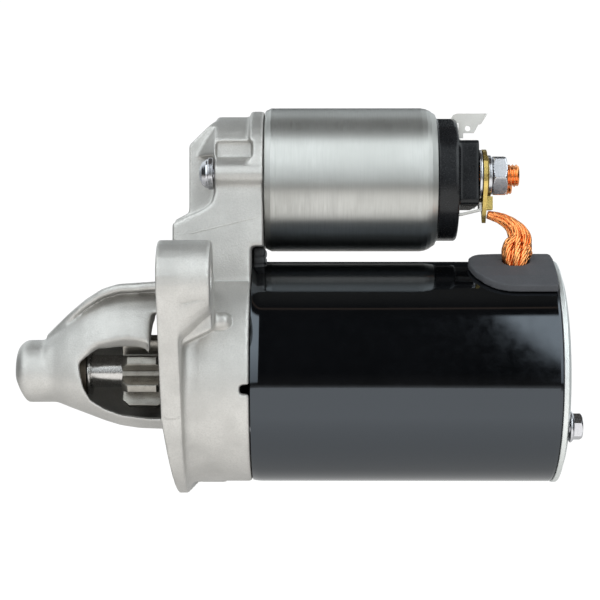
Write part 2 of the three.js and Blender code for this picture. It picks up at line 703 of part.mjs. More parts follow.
const spadeSlot = () =>
  box(99.4, 101.9, SPADE.y - SPADE.t / 2 - GAP, SPADE.y + SPADE.t / 2 + GAP, 14.2, 25);

// Coil strip, which turns up between the block and the flat washer of the motor stud.
function coilStrip() {
  const path = [
    [99.8, -13.3 + STRIP.t], [102.6, -13.3 + STRIP.t], [108.7, -11], [108.7, -8.8], [109.5, -8.8],
    [109.5, -11.7], [102.8, -13.3], [99.8, -13.3],
  ];
  return sidePlate(path, -STUD.y - STRIP.half, -STUD.y + STRIP.half);
}

const stripSlot = () =>
  box(99.4, 101.9, -STUD.y - STRIP.half - GAP, -STUD.y + STRIP.half + GAP, -13.8, -11.9);

// Colours and finishes

const FINISH = {
  castAluminium: { color: 0xb9b6af, roughness: 0.55, metalness: 0.85 },
  zincPlate: { color: 0xb4b2a8, roughness: 0.25, metalness: 1 },
  steel: { color: 0x9a9a98, roughness: 0.3, metalness: 1 },
  gearSteel: { color: 0x86807a, roughness: 0.4, metalness: 1 },
  blackPaint: { color: 0x050506, roughness: 0.12, metalness: 0 },
  bakelite: { color: 0x101113, roughness: 0.45, metalness: 0 },
  rubber: { color: 0x37383b, roughness: 0.8, metalness: 0 },
  blackRubber: { color: 0x111213, roughness: 0.7, metalness: 0 },
  copper: { color: 0xc8663a, roughness: 0.35, metalness: 1 },
  brass: { color: 0xb5943c, roughness: 0.35, metalness: 1 },
  bronze: { color: 0x6d5a44, roughness: 0.5, metalness: 1 },
  ferrite: { color: 0x2d2d2f, roughness: 0.8, metalness: 0 },
  carbon: { color: 0x262423, roughness: 0.7, metalness: 0.1 },
  winding: { color: 0x8a3d1c, roughness: 0.4, metalness: 0.8 },
  springSteel: { color: 0x8f8f90, roughness: 0.3, metalness: 1 },
  nylon: { color: 0x2a2622, roughness: 0.6, metalness: 0 },
};

function mesh(name, geometry, finish) {
  const made = new THREE.Mesh(geometry, new THREE.MeshStandardMaterial(FINISH[finish]));
  made.name = name;
  return made;
}

function placed(object, x, y, z) {
  object.position.set(x, y, z);
  return object;
}

function group(...children) {
  const made = new THREE.Group();
  made.add(...children);
  return made;
}

const driveEnd = group(
  mesh("drive_end_housing", driveEndHousing(), "castAluminium"),
  mesh("nose_bush", noseBush(), "bronze"),
  mesh("thrust_washer", thrustWasher(), "steel"),
  mesh("lever_seal", leverSeal(), "blackRubber"),
  placed(mesh("shift_lever", shiftLever(), "nylon"), PIVOT.x, 0, PIVOT.z),
  placed(mesh("lever_pivot_pin", leverPin(), "steel"), PIVOT.x, 0, PIVOT.z),
);

const motor = group(
  mesh("yoke", yoke(), "blackPaint"),
  mesh("rear_cover", rearCover(), "zincPlate"),
  mesh("rear_bush", rearBush(), "bronze"),
  mesh("lead_grommet", grommet(), "rubber"),
  mesh("motor_lead", leadBody(), "copper"),
  mesh("brush_plate", brushPlate(), "zincPlate"),
  placed(mesh("through_bolt_near", throughBolt(), "zincPlate"), 0, -BOLT_PLACE.y, -BOLT_PLACE.z),
  placed(mesh("through_bolt_far", throughBolt(), "zincPlate"), 0, BOLT_PLACE.y, BOLT_PLACE.z),
);

MAGNET_ANGLES.forEach((angle, i) => {
  const field = mesh(`field_magnet_${i + 1}`, magnet(), "ferrite");
  field.rotation.x = angle + Math.PI / 2;
  const contact = mesh(`carbon_brush_${i + 1}`, brush(), "carbon");
  contact.rotation.x = angle;
  const push = mesh(`brush_spring_${i + 1}`, brushSpring(), "springSteel");
  push.rotation.x = angle;
  motor.add(field, contact, push);
});

const armature = group(
  mesh("armature_shaft", shaft(), "steel"),
  mesh("armature_core", armatureCore(), "steel"),
  mesh("front_winding", endTurns(44.4, CORE.front - GAP, 1), "winding"),
  mesh("rear_winding", endTurns(CORE.rear + GAP, 100.4, -1), "winding"),
  mesh("commutator", commutator(), "copper"),
);

const drive = group(
  mesh("pinion", pinion(), "gearSteel"),
  mesh("clutch_shell", clutchShell(), "steel"),
  mesh("clutch_collar", clutchCollar(), "nylon"),
  mesh("collar_snap_ring", tube(37, 38.2, SLEEVE_R + GAP, 12, ROUND), "springSteel"),
);

const solenoid = placed(
  group(
    mesh("solenoid_can", solenoidCan(), "zincPlate"),
    mesh("solenoid_coil", solenoidCoil(), "winding"),
    mesh("plunger_sleeve", plungerSleeve(), "brass"),
    mesh("pole_piece", polePiece(), "steel"),
    mesh("plunger", plunger(), "zincPlate"),
    mesh("return_spring", returnSpring(), "springSteel"),
    mesh("contact_rod", contactRod(), "steel"),
    mesh("contact_disc", contactDisc(), "copper"),
    mesh("contact_spring", contactSpring(), "springSteel"),
    mesh("terminal_cap", terminalCap(), "bakelite"),
    mesh("spade_terminal", spadeTerminal(), "zincPlate"),
    mesh("coil_strip", coilStrip(), "zincPlate"),
  ),
  0, 0, SOL_Z,
);

["near", "far"].forEach((side, i) => {
  const [y, z] = STUD_PLACES[i];
  const screw = mesh(`solenoid_screw_${side}`, solenoidScrew(), "zincPlate");
  solenoid.add(placed(screw, 0, (i * 2 - 1) * SCREW.y, SCREW.z));
  const terminal = ["motor", "battery"][i];
  const nutFront = [113.3, BLOCK_REAR + 1.5][i];
  solenoid.add(
    placed(mesh(`${terminal}_stud`, stud(), "copper"), 0, y, z),
    placed(mesh(`${terminal}_flat_washer`, flatWasher(), "zincPlate"), 0, y, z),
    placed(mesh(`${terminal}_nut`, nut(nutFront, 0.67), "zincPlate"), 0, y, z),
  );
});

solenoid.add(
  placed(mesh("lead_lug", leadLug(), "brass"), 0, ...STUD_PLACES[0]),
  placed(mesh("motor_lock_washer", lockWasher(), "zincPlate"), 0, ...STUD_PLACES[0]),
);

export default group(driveEnd, motor, armature, drive, solenoid);
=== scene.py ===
import json
import math
import random

import bmesh
import bpy
import numpy as np
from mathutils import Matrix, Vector

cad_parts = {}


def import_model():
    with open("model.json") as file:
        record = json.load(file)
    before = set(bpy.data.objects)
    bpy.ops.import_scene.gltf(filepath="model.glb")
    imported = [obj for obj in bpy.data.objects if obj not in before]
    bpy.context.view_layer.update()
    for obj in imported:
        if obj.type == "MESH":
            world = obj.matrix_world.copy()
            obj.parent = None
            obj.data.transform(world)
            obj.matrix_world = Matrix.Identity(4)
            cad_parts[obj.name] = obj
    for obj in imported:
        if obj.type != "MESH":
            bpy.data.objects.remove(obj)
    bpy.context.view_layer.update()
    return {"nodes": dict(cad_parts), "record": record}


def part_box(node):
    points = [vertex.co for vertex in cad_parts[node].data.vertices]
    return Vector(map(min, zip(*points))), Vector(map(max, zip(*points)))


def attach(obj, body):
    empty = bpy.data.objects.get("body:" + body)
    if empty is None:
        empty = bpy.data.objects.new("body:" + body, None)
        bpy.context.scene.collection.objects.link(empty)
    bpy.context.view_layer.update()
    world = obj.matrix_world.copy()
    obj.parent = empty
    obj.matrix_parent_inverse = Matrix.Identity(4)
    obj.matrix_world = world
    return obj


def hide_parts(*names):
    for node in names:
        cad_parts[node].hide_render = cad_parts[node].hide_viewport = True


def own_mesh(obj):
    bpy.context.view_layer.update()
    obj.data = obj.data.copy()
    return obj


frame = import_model()
NODES = frame["nodes"]
SCENE = bpy.context.scene

MM = 0.001
AXIS = (0.0, 0.0)  # (y, z) of the motor axis, in millimetres
TAU = 2 * math.pi


def box_mm(node):
    """A CAD node's lowest and highest corners, in millimetres."""
    low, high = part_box(node)
    return np.array(low) / MM, np.array(high) / MM


def centre_yz(node):
    low, high = box_mm(node)
    return ((low[1] + high[1]) / 2, (low[2] + high[2]) / 2)


YOKE_LOW, YOKE_HIGH = box_mm("yoke")
YOKE_R = (YOKE_HIGH[1] - YOKE_LOW[1]) / 2
CAN_LOW, CAN_HIGH = box_mm("solenoid_can")
CAN_R = (CAN_HIGH[1] - CAN_LOW[1]) / 2
SOL = centre_yz("solenoid_can")
FLANGE_R = 43.2
EAR = (51.0, 33.0)  # y and z of the ears, on opposite sides of the axis
EAR_R = 12.0
EAR_HOLE_R = 5.25
CAP_RIM_R = 21.7
STUD_CORE_R = 3.5
STUD_R = 3.98
STUD_PITCH = 1.25
THREAD_START = 108.4
NUT_FLATS = 13
NUT_TURN = 0.67 + math.pi / 6
BOLT_FLATS = 8
BOLT_TURN = 0.2 + math.pi / 6


# Camera and light


def look_at(obj, target):
    obj.rotation_euler = (Vector(target) - obj.location).to_track_quat("-Z", "Y").to_euler()


def camera():
    data = bpy.data.cameras.new("camera")
    data.lens = 102.3
    data.sensor_width = 36
    made = bpy.data.objects.new("camera", data)
    SCENE.collection.objects.link(made)
    made.location = (0.05107, -0.609, 0.02536)
    look_at(made, (0.04607, 0, 0.02536))
    SCENE.camera = made


def add_node(tree, kind, inputs=(), **settings):
    """Adds a node. inputs are values or sockets, in the order of its sockets; None leaves one as it is."""
    made = tree.nodes.new(kind)
    for key, value in settings.items():
        setattr(made, key, value)
    for socket, value in zip(made.inputs, inputs):
        if isinstance(value, bpy.types.NodeSocket):
            tree.links.new(value, socket)
        elif value is not None:
            socket.default_value = value
    return made.outputs[0]


def ramp_of(tree, factor, stops):
    """A colour ramp over grey levels or colours."""
    made = tree.nodes.new("ShaderNodeValToRGB")
    tree.links.new(factor, made.inputs["Fac"])
    elements = made.color_ramp.elements
    while len(elements) < len(stops):
        elements.new(0.5)
    for element, (place, colour) in zip(elements, stops):
        element.position = place
        element.color = (*colour, 1) if isinstance(colour, tuple) else (colour, colour, colour, 1)
    return made.outputs["Color"]


def world():
    """White behind the object. For light and reflections, a dim room with a pale lower part and two tall
    softboxes in front, one on each side, and two dimmer ones behind."""
    made = bpy.data.worlds.new("studio")
    made.use_nodes = True
    tree = made.node_tree
    tree.nodes.clear()
    direction = tree.nodes.new("ShaderNodeTexCoord").outputs["Generated"]
    split = tree.nodes.new("ShaderNodeSeparateXYZ")
    tree.links.new(direction, split.inputs[0])
    x, y, z = split.outputs
    height = add_node(tree, "ShaderNodeMapRange", (z, -1, 1, 0, 1))
    room = ramp_of(tree, height, [
        (0.0, (0.6, 0.59, 0.57)),
        (0.37, (0.6, 0.59, 0.57)),
        (0.40, (0.06, 0.056, 0.052)),
        (0.5, (0.012, 0.0135, 0.015)),
        (0.9, (0.014, 0.016, 0.018)),
        (0.9675, (0.02, 0.02, 0.021)),
        (0.9695, (0.62, 0.42, 0.3)),
        (0.9715, (0.02, 0.02, 0.021)),
        (0.985, (0.05, 0.048, 0.045)),
        (1.0, (0.1, 0.095, 0.085)),
    ])
    sideways = add_node(tree, "ShaderNodeMath", (x,), operation="ABSOLUTE")
    lean = add_node(tree, "ShaderNodeMath", (z, 0.05, sideways), operation="MULTIPLY_ADD")
    inner = add_node(tree, "ShaderNodeMapRange", (lean, 0.148, 0.158, 0, 1))
    outer = add_node(tree, "ShaderNodeMapRange", (sideways, 0.72, 0.86, 1, 0))
    bottom = add_node(tree, "ShaderNodeMapRange", (z, -0.16, 0.42, 0.5, 1))
    floor_edge = add_node(tree, "ShaderNodeMapRange", (z, -0.17, -0.15, 0, 1))
    top = add_node(tree, "ShaderNodeMapRange", (z, 0.86, 0.885, 1, 0))
    behind = add_node(tree, "ShaderNodeMapRange", (y, -0.1, 0.1, 1, 0.45))
    mask = inner
    for share in (outer, bottom, floor_edge, top, behind):
        mask = add_node(tree, "ShaderNodeMath", (mask, share), operation="MULTIPLY")
    boxes = add_node(tree, "ShaderNodeVectorMath", ((2.2, 2.35, 2.42), None), operation="SCALE")
    scale = boxes.node
    tree.links.new(mask, scale.inputs["Scale"])
    total = add_node(tree, "ShaderNodeVectorMath", (room, boxes), operation="ADD")
    lit = tree.nodes.new("ShaderNodeBackground")
    tree.links.new(total, lit.inputs["Color"])
    white = tree.nodes.new("ShaderNodeBackground")
    white.inputs["Color"].default_value = (1, 1, 1, 1)
    white.inputs["Strength"].default_value = 1.05
    mix = tree.nodes.new("ShaderNodeMixShader")
    tree.links.new(tree.nodes.new("ShaderNodeLightPath").outputs["Is Camera Ray"], mix.inputs[0])
    tree.links.new(lit.outputs[0], mix.inputs[1])
    tree.links.new(white.outputs[0], mix.inputs[2])
    out = tree.nodes.new("ShaderNodeOutputWorld")
    tree.links.new(mix.outputs[0], out.inputs["Surface"])
    SCENE.world = made
    SCENE.view_settings.view_transform = "Standard"


def floor():
    """A round pale table top under the object. It glows with painted light, stronger in front than behind,
    and at least full strength where the camera sees it.
    """
    low = YOKE_LOW[2] * MM - 0.075
    radius, sides = 0.46, 128
    angles = np.linspace(0, TAU, sides, False)
    ring = [(0.045 + radius * math.cos(a), radius * math.sin(a), low) for a in angles]
    mesh = bpy.data.meshes.new("floor")
    mesh.from_pydata(ring, [], [list(range(sides))])
    made = bpy.data.objects.new("floor", mesh)
    SCENE.collection.objects.link(made)
    paper = bpy.data.materials.new("white_paper")
    paper.use_nodes = True
    tree = paper.node_tree
    shader = tree.nodes["Principled BSDF"]
    shader.inputs["Base Color"].default_value = (0.2, 0.2, 0.2, 1)
    shader.inputs["Roughness"].default_value = 0.9
    shader.inputs["Specular IOR Level"].default_value = 0
    shader.inputs["Emission Color"].default_value = (1, 0.99, 0.97, 1)
    split = tree.nodes.new("ShaderNodeSeparateXYZ")
    tree.links.new(tree.nodes.new("ShaderNodeTexCoord").outputs["Object"], split.inputs[0])
    # Painted light: the floor's glow falls from front to back.
    glow = add_node(tree, "ShaderNodeMapRange", (split.outputs["Y"], -0.13, 0.03, 1.2, 0.5))
    seen = tree.nodes.new("ShaderNodeLightPath").outputs["Is Camera Ray"]
    strength = add_node(tree, "ShaderNodeMath", (seen, glow), operation="MAXIMUM")
    tree.links.new(strength, shader.inputs["Emission Strength"])
    mesh.materials.append(paper)


# Materials. Each is a Principled surface whose colour, roughness and relief come from noise.


def noise_node(tree, vector, scale, detail=3.0):
    made = tree.nodes.new("ShaderNodeTexNoise")
    made.inputs["Scale"].default_value = scale
    made.inputs["Detail"].default_value = detail
    tree.links.new(vector, made.inputs["Vector"])
    return made.outputs["Fac"]


def between(tree, factor, low, high, start=0.35, stop=0.65):
    """A number that runs from low to high as factor runs from start to stop."""
    made = tree.nodes.new("ShaderNodeMapRange")
    for socket, value in zip(("From Min", "From Max", "To Min", "To Max"), (start, stop, low, high)):
        made.inputs[socket].default_value = value
    tree.links.new(factor, made.inputs["Value"])
    return made.outputs[0]


def mixed(tree, factor, first, second, blend="MIX"):
    """A colour mix. first and second are colours or sockets."""
    made = tree.nodes.new("ShaderNodeMix")
    made.data_type = "RGBA"
    made.blend_type = blend
    if isinstance(factor, float):
        made.inputs[0].default_value = factor
    else:
        tree.links.new(factor, made.inputs[0])
    for index, value in ((6, first), (7, second)):
        if isinstance(value, tuple):
            made.inputs[index].default_value = (*value, 1)
        else:
            tree.links.new(value, made.inputs[index])
    return made.outputs[2]


def finish(
    name, colour, shade, rough, metallic=1.0, patch=60, grain=1500, relief=0.1, depth=0.02,
    stretch=(1, 1, 1), specular=0.5, tint=(1, 1, 1), hollow_shade=0.0, brushed=0.0,
):
    """A material. colour and shade are mixed in patches. rough is its lowest and highest roughness. patch
    and grain are noise scales per metre, relief and depth set the bump, and hollow_shade is painted shade
    that darkens its hollows. brushed is the share by which fine turning marks about X spread its reflections
    sideways."""
    made = bpy.data.materials.new(name)
    made.use_nodes = True
    tree = made.node_tree
    shader = tree.nodes["Principled BSDF"]
    coords = tree.nodes.new("ShaderNodeTexCoord").outputs["Object"]
    mapping = tree.nodes.new("ShaderNodeMapping")
    mapping.inputs["Scale"].default_value = stretch
    tree.links.new(coords, mapping.inputs["Vector"])
    patches = noise_node(tree, coords, patch, 4)
    grains = noise_node(tree, mapping.outputs[0], grain, 4)
    tone = mixed(tree, between(tree, patches, 0, 1), colour, shade)
    speck = mixed(tree, between(tree, grains, 0, 0.5, 0.4, 0.7), tone, shade)
    # Painted shade: pointiness darkens the hollows, where shade would fall.
    if hollow_shade:
        hollow = tree.nodes.new("ShaderNodeNewGeometry").outputs["Pointiness"]
        hollow_shade_colour = tuple(c * (1 - hollow_shade) for c in shade)
        speck = mixed(tree, between(tree, hollow, 0.7, 0, 0.44, 0.495), speck, hollow_shade_colour)
    tree.links.new(speck, shader.inputs["Base Color"])
    tree.links.new(between(tree, grains, *rough), shader.inputs["Roughness"])
    shader.inputs["Metallic"].default_value = metallic
    shader.inputs["Specular IOR Level"].default_value = specular
    shader.inputs["Specular Tint"].default_value = (*tint, 1)
    if brushed:
        tangent = tree.nodes.new("ShaderNodeTangent")
        tangent.direction_type = "RADIAL"
        tangent.axis = "X"
        tree.links.new(tangent.outputs[0], shader.inputs["Tangent"])
        shader.inputs["Anisotropic"].default_value = brushed
        shader.inputs["Anisotropic Rotation"].default_value = 0.25
    bump = tree.nodes.new("ShaderNodeBump")
    bump.inputs["Strength"].default_value = relief
    bump.inputs["Distance"].default_value = depth * MM
    tree.links.new(grains, bump.inputs["Height"])
    tree.links.new(bump.outputs[0], shader.inputs["Normal"])
    return made


MATERIAL = {
    # Painted shade darkens the hollows of the cast aluminium.
    "cast_aluminium": finish(
        "cast_aluminium", (0.60, 0.585, 0.56), (0.50, 0.488, 0.467), (0.42, 0.56), 0.85,
        patch=90, grain=1900, relief=0.6, depth=0.16, hollow_shade=0.35,
    ),
    "zinc_plate": finish(
        "zinc_plate", (0.78, 0.80, 0.785), (0.70, 0.72, 0.705), (0.42, 0.54), 0.85,
        patch=60, grain=900, relief=0.2, depth=0.04,
    ),
    "turned_zinc": finish(
        "turned_zinc", (0.54, 0.54, 0.52), (0.47, 0.47, 0.45), (0.4, 0.48),
        patch=45, grain=420, relief=0.2, depth=0.04, stretch=(5, 0.35, 0.35), brushed=0.85,
    ),
    "bright_zinc": finish(
        "bright_zinc", (0.66, 0.66, 0.68), (0.52, 0.52, 0.55), (0.18, 0.26), grain=1600, relief=0.08,
    ),
    "tin_plate": finish(
        "tin_plate", (0.80, 0.77, 0.73), (0.66, 0.63, 0.59), (0.3, 0.42), grain=2600, relief=0.2,
    ),
    "steel": finish(
        "steel", (0.60, 0.585, 0.57), (0.47, 0.455, 0.44), (0.16, 0.3), grain=1400, relief=0.15,
        stretch=(6, 1, 1),
    ),
    # Painted shade darkens the hollows of the gear steel.
    "gear_steel": finish(
        "gear_steel", (0.40, 0.38, 0.345), (0.28, 0.265, 0.24), (0.26, 0.42), patch=220, grain=1800,
        relief=0.3, depth=0.03, stretch=(5, 1, 1), hollow_shade=0.5,
    ),
    "spring_steel": finish("spring_steel", (0.45, 0.45, 0.46), (0.3, 0.3, 0.31), (0.25, 0.4), grain=2500),
    "black_paint": finish(
        "black_paint", (0.0015, 0.0016, 0.0018), (0.0025, 0.0026, 0.003), (0.045, 0.08), 0.0,
        patch=30, grain=260, relief=0.05, specular=0.95, tint=(0.8, 0.89, 1.0),
    ),
    "bakelite": finish(
        "bakelite", (0.006, 0.0065, 0.0075), (0.012, 0.0125, 0.014), (0.16, 0.3), 0.0,
        patch=160, grain=2300, relief=0.1, depth=0.03, specular=0.32,
    ),
    "grey_rubber": finish(
        "grey_rubber", (0.066, 0.067, 0.074), (0.052, 0.053, 0.059), (0.62, 0.78), 0.0, patch=120,
        grain=2600, relief=0.4, depth=0.05,
    ),
    "black_rubber": finish(
        "black_rubber", (0.011, 0.0115, 0.013), (0.018, 0.019, 0.021), (0.4, 0.6), 0.0,
        patch=120, grain=2000, relief=0.3, depth=0.04,
    ),
    "copper": finish(
        "copper", (0.98, 0.43, 0.16), (0.86, 0.31, 0.10), (0.2, 0.34), patch=260, grain=2600, relief=0.2,
    ),
    "brass": finish(
        "brass", (0.78, 0.60, 0.20), (0.60, 0.43, 0.13), (0.22, 0.36), patch=200, grain=2200, relief=0.2,
    ),
    "bronze": finish("bronze", (0.17, 0.14, 0.11), (0.10, 0.085, 0.07), (0.4, 0.6), grain=2400, relief=0.4),
    "ferrite": finish("ferrite", (0.04, 0.04, 0.043), (0.028, 0.028, 0.03), (0.6, 0.8), 0.0, grain=1800),
    "carbon": finish("carbon", (0.045, 0.04, 0.037), (0.03, 0.027, 0.025), (0.5, 0.7), 0.2, grain=2400),
    "winding": finish(
        "winding", (0.45, 0.15, 0.06), (0.30, 0.09, 0.035), (0.2, 0.35), 0.9, grain=900, relief=0.6,
        depth=0.2, stretch=(0.3, 2, 2),
    ),
    "nylon": finish("nylon", (0.06, 0.053, 0.047), (0.045, 0.04, 0.036), (0.4, 0.55), 0.0, grain=2000),
}


# Meshes. Points are in millimetres, and most pieces are made of rings of points.


def skin(rings, closed=False):
    """Points and faces over rings, which close on themselves. closed joins the last ring to the first."""
    rings = np.asarray(rings, float)
    count, sides = rings.shape[:2]
    ring_index = np.arange(count if closed else count - 1)
    a = (ring_index[:, None] * sides + np.arange(sides)[None]).ravel()
    b = (ring_index[:, None] * sides + (np.arange(sides)[None] + 1) % sides).ravel()
    step = sides
    total = count * sides
    faces = np.stack([a, b, (b + step) % total, (a + step) % total], 1).tolist()
    if not closed:
        faces.append(list(range(sides))[::-1])
        faces.append(list(range(total - sides, total)))
    return rings.reshape(-1, 3), faces


def combine(parts):
    """One list of points and faces from several."""
    points, faces, start = [], [], 0
    for p, f in parts:
        points.append(p)
        faces += [[i + start for i in face] for face in f]
        start += len(p)
    return np.concatenate(points), faces


def add_piece(name, shape, body, material, replaces=(), sharp=32):
    """Makes one object of points and faces, and says what it rides on and stands for."""
    points, faces = shape
    mesh = bpy.data.meshes.new(name)
    mesh.from_pydata((np.asarray(points) * MM).tolist(), [], faces)
    mesh.update()
    made = bpy.data.objects.new(name, mesh)
    SCENE.collection.objects.link(made)
    tidy_normals(made)
    return register(made, body, material, replaces, sharp)


def tidy_normals(made):
    work = bmesh.new()
    work.from_mesh(made.data)
    bmesh.ops.recalc_face_normals(work, faces=work.faces)
    work.to_mesh(made.data)
    work.free()


def register(made, body, material, replaces=(), sharp=32):
    mesh = made.data
    mesh.materials.clear()
    mesh.materials.append(MATERIAL[material])
    mesh.polygons.foreach_set("use_smooth", np.ones(len(mesh.polygons), bool))
    mesh.set_sharp_from_angle(angle=math.radians(sharp))
    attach(made, body)
    if replaces:
        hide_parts(*replaces)
    return made


def soften(profile, radius, steps=4, closed=False):
    """A profile with its corners rounded by arcs of that radius, or less where a side is short."""
    points = [np.array(p, float) for p in profile]
    count = len(points)
    out = [] if closed else [points[0]]
    for i in range(0 if closed else 1, count if closed else count - 1):
        here, before, after = points[i], points[i - 1], points[(i + 1) % count]
        a, b = before - here, after - here
        reach_a, reach_b = np.linalg.norm(a), np.linalg.norm(b)
        a, b = a / reach_a, b / reach_b
        half = math.acos(max(-1, min(1, float(a @ b)))) / 2
        if half > math.radians(87):
            out.append(here)
            continue
        back = min(radius / math.tan(half), 0.48 * reach_a, 0.48 * reach_b)
        start, stop = here + a * back, here + b * back
        for t in np.linspace(0, 1, steps + 1):
            out.append((1 - t) ** 2 * start + 2 * t * (1 - t) * here + t * t * stop)
    if not closed:
        out.append(points[-1])
    return out


def hold(profile, closed, margin=0.12):
    """Adds points just inside the ends of each long side, so that rounded corners don't tilt its shading."""
    out = []
    count = len(profile)
    for i, here in enumerate(profile):
        out.append(np.array(here, float))
        if not closed and i == count - 1:
            break
        after = np.array(profile[(i + 1) % count], float)
        length = np.linalg.norm(after - out[-1])
        if length > 6 * margin:
            start = out[-1]
            near = margin / length
            for share in (near, 2 * near, 1 - 2 * near, 1 - near):
                out.append(start + (after - start) * share)
    return out


def around(x, radius, angles, centre):
    """Points about X. x and radius are numbers, or have a value for each angle."""
    across = centre[0] + radius * np.cos(angles)
    up = centre[1] + radius * np.sin(angles)
    return np.stack(np.broadcast_arrays(x, across, up), 1)


def turned(profile, centre=AXIS, sides=160, closed=False, round_by=0.25):
    """A turned shape about X from [x, radius] points."""
    profile = soften(profile, round_by, closed=closed) if round_by else profile
    profile = hold(profile, closed)
    angles = np.linspace(0, TAU, sides, False)
    return skin([around(x, r, angles, centre) for x, r in profile], closed)


def ring_shape(x0, x1, inner, outer, centre=AXIS, sides=96, round_by=0.2):
    corners = [(x0, inner), (x0, outer), (x1, outer), (x1, inner)]
    return turned(corners, centre, sides, True, round_by)


def shaped(stations, centre=AXIS, sides=180):
    """Rings whose radius is a function of the angle: stations are [x, radius function]."""
    angles = np.linspace(0, TAU, sides, False)
    rings = []
    for x, radius in stations:
        r = np.array([radius(a) for a in angles])
        rings.append(around(x, r, angles, centre))
    return skin(rings)


def hexagon_radius(flats, turn):
    """The radius of a hexagon as a function of the angle."""

    def radius(angle):
        local = (angle - turn) % (math.pi / 3) - math.pi / 6
        return flats / 2 / math.cos(local)

    return radius


def hexagon(x0, x1, flats, centre, turn=0.0, chamfer=(0.7, 0.7)):
    """A hexagon head or nut whose corners are chamfered at each end."""
    across = hexagon_radius(flats, turn)
    reach = flats / math.sqrt(3)
    bevel = reach - flats / 2 + 0.15
    stations = []
    for t in np.linspace(0, 1, 25):
        x = x0 + (x1 - x0) * (0.5 - 0.5 * math.cos(math.pi * t))
        limit = reach
        for end, depth in ((x - x0, chamfer[0]), (x1 - x, chamfer[1])):
            if depth:
                limit = min(limit, reach - bevel + bevel * min(1, end / depth))
        stations.append((x, lambda a, limit=limit: min(across(a), limit)))
    return shaped(stations, centre, 192)


def thread(x0, x1, radius, pitch, centre, depth=0.55, sides=64):
    """A screw thread whose end is chamfered."""
    angles = np.linspace(0, TAU, sides, False)
    rings = []
    for x in np.arange(x0, x1 + 1e-6, pitch / 10):
        phase = ((x - x0) / pitch - angles / TAU) % 1
        groove = np.clip(np.abs(phase - 0.5) * 2.5 - 0.12, 0, 1)
        chamfer = radius - depth * 1.1 + max(0, x1 - x) * depth * 1.3
        rings.append(around(x, np.minimum(radius - depth * groove, chamfer), angles, centre))
    return skin(rings)


def sweep(path, radius, sides=6, turn=0.0):
    """A tube along a path of points, whose radius may change on the way."""
    path = np.asarray(path, float)
    radius = np.broadcast_to(radius, len(path))
    tangent = np.gradient(path, axis=0)
    tangent /= np.linalg.norm(tangent, axis=1)[:, None]
    side = np.cross(tangent, [0.3, 1.0, 0.2])
    side /= np.linalg.norm(side, axis=1)[:, None]
    up = np.cross(tangent, side)
    angles = np.linspace(0, TAU, sides, False) + turn
    rings = path[:, None] + radius[:, None, None] * (
        np.cos(angles)[None, :, None] * side[:, None] + np.sin(angles)[None, :, None] * up[:, None]
    )
    return skin(rings)


def helix(r, x0, x1, turns, centre, wire, steps=24):
    """A coil about X, of wire of that radius."""
    t = np.linspace(0, 1, int(turns * steps) + 1)
    x = x0 + wire + (x1 - x0 - 2 * wire) * t
    return sweep(around(x, r, t * turns * TAU, centre), wire, 8)


# Cast housing: the CAD casting with its corners rounded as a casting's are


def neighbours_mean(points, edges):
    """Each point's mean neighbour."""
    count = np.bincount(edges.ravel(), minlength=len(points))[:, None]
    total = np.zeros_like(points)
    for axis in range(3):
        column = points[:, axis]
        total[:, axis] = np.bincount(edges[:, 0], column[edges[:, 1]], len(points))
        total[:, axis] += np.bincount(edges[:, 1], column[edges[:, 0]], len(points))
    return total / np.maximum(count, 1)


def snap_round(points, centre, radius, x_range, reach=0.32):
    """Moves points that lie close to a cylinder about X onto it."""
    offset = points[:, 1:] - centre
    distance = np.linalg.norm(offset, axis=1)
    near = (np.abs(distance - radius) < reach) & (points[:, 0] > x_range[0]) & (points[:, 0] < x_range[1])
    points[near, 1:] = np.array(centre) + offset[near] * (radius / distance[near])[:, None]


def fine_copy(name, node, voxel):
    made = bpy.data.objects.new(name, NODES[node].data.copy())
    SCENE.collection.objects.link(made)
    remesh = made.modifiers.new("remesh", "REMESH")
    remesh.mode = "VOXEL"
    remesh.voxel_size = voxel * MM
    bpy.context.view_layer.update()
    fine = bpy.data.meshes.new_from_object(made.evaluated_get(bpy.context.evaluated_depsgraph_get()))
    made.modifiers.clear()
    made.data = fine
    points = np.empty(len(fine.vertices) * 3)
    fine.vertices.foreach_get("co", points)
    edges = np.empty(len(fine.edges) * 2, int)
    fine.edges.foreach_get("vertices", edges)
    return made, points.reshape(-1, 3) / MM, edges.reshape(-1, 2)


def set_points(made, points):
    made.data.vertices.foreach_set("co", (points * MM).ravel())
    made.data.update()


def cast_housing():
    """The casting. All of it is smoothed a little, and its nose and near webs further."""
    made, points, edges = fine_copy("housing_casting", "drive_end_housing", 0.5)
    low, high = points.min(0), points.max(0)
    x, y, z = points.T
    nose = np.clip((-1.5 - x) / 3, 0, 1)
    webs = np.clip((x - 4) / 3, 0, 1) * np.clip((26 - x) / 3, 0, 1) * np.clip((-28 - y) / 4, 0, 1)
    webs *= np.clip((24 - z) / 4, 0, 1) * np.clip(z / 4, 0, 1)
    free = np.maximum(nose, webs)[:, None]
    for turn in range(16):
        share = 0.5 if turn < 8 else 0.5 * free
        points += share * (neighbours_mean(points, edges) - points)
    snap_round(points, AXIS, YOKE_R, (12, 28.4))
    snap_round(points, AXIS, FLANGE_R, (0.8, 6.2))
    for side in (-1, 1):
        snap_round(points, (side * EAR[0], -side * EAR[1]), EAR_R, (8.2, 16.4))
        snap_round(points, (side * EAR[0], -side * EAR[1]), EAR_HOLE_R, (1, 16.4))
    set_points(made, np.clip(points, low, high))
    register(made, "root", "cast_aluminium", ["drive_end_housing"], 180)


def casting_seam():
    """The thin raised line that the two halves of the mould left on the side of the lever housing."""
    t = np.linspace(0, 1, 40)
    path = np.stack([7.5 + 24.5 * t, np.full(40, -22.38), 48 + 6 * t], 1)
    size = 0.24 * np.sqrt(np.clip(np.minimum(t, 1 - t) * 12, 0.02, 1))
    add_piece("casting_seam", sweep(path, size, 8), "root", "cast_aluminium")


# Motor casing


